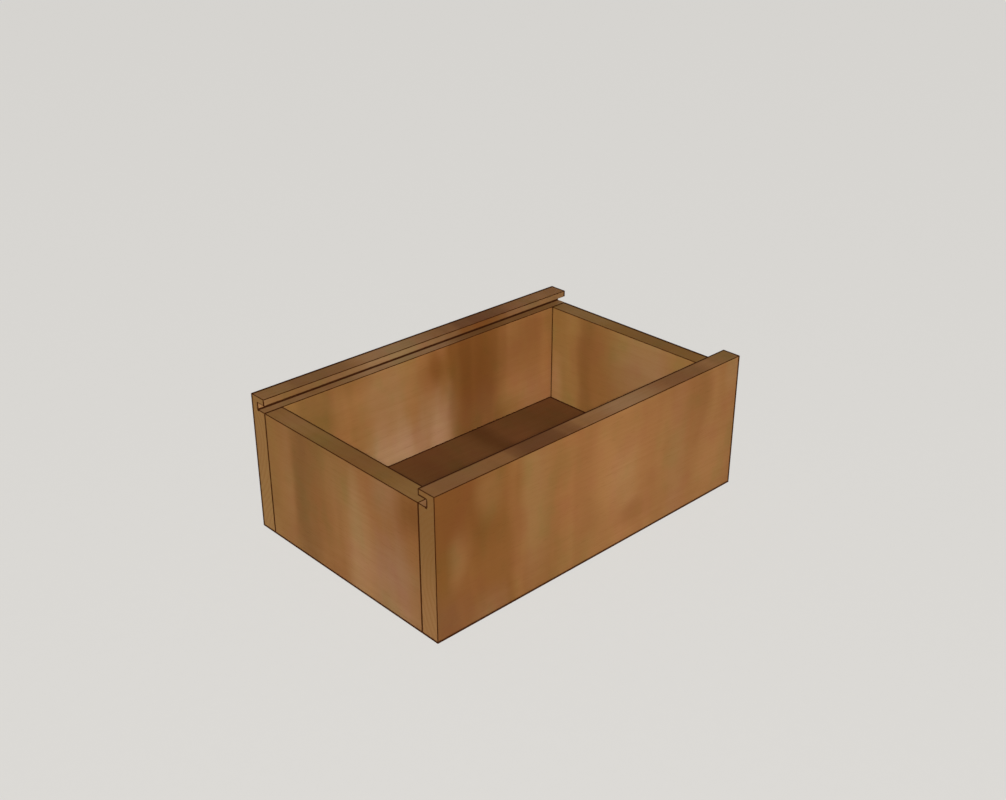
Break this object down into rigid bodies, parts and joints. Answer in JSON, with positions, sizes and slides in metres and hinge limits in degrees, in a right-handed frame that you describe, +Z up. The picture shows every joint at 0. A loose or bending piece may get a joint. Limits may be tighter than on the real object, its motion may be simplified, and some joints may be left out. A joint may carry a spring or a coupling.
{
  "type": "keepsake box",
  "caption": "Open rectangular wooden keepsake box of thick plain boards, its long sides grooved near the top for a sliding flat lid and its lower ends level with the groove floor.",
  "frame": {"origin": "on the supporting surface, under the middle of the box", "axes": "+X along the long sides towards the right end, +Y towards the back side, +Z up"},
  "size_m": [0.3682, 0.2414, 0.1333],
  "materials": {
    "side_boards": "satin oiled brown",
    "end_boards": "satin oiled brown",
    "bottom_board": "satin dark brown",
    "dowels": "bare turned hardwood"
  },
  "bodies": {
    "root": {"front_side": "side_boards", "back_side": "side_boards", "left_end": "end_boards", "right_end": "end_boards", "bottom_board": "bottom_board", "front_left_dowels": "dowels", "front_right_dowels": "dowels", "back_left_dowels": "dowels", "back_right_dowels": "dowels", "bottom_front_dowels": "dowels", "bottom_back_dowels": "dowels", "bottom_left_dowels": "dowels", "bottom_right_dowels": "dowels"}
  },
  "joints": []
}
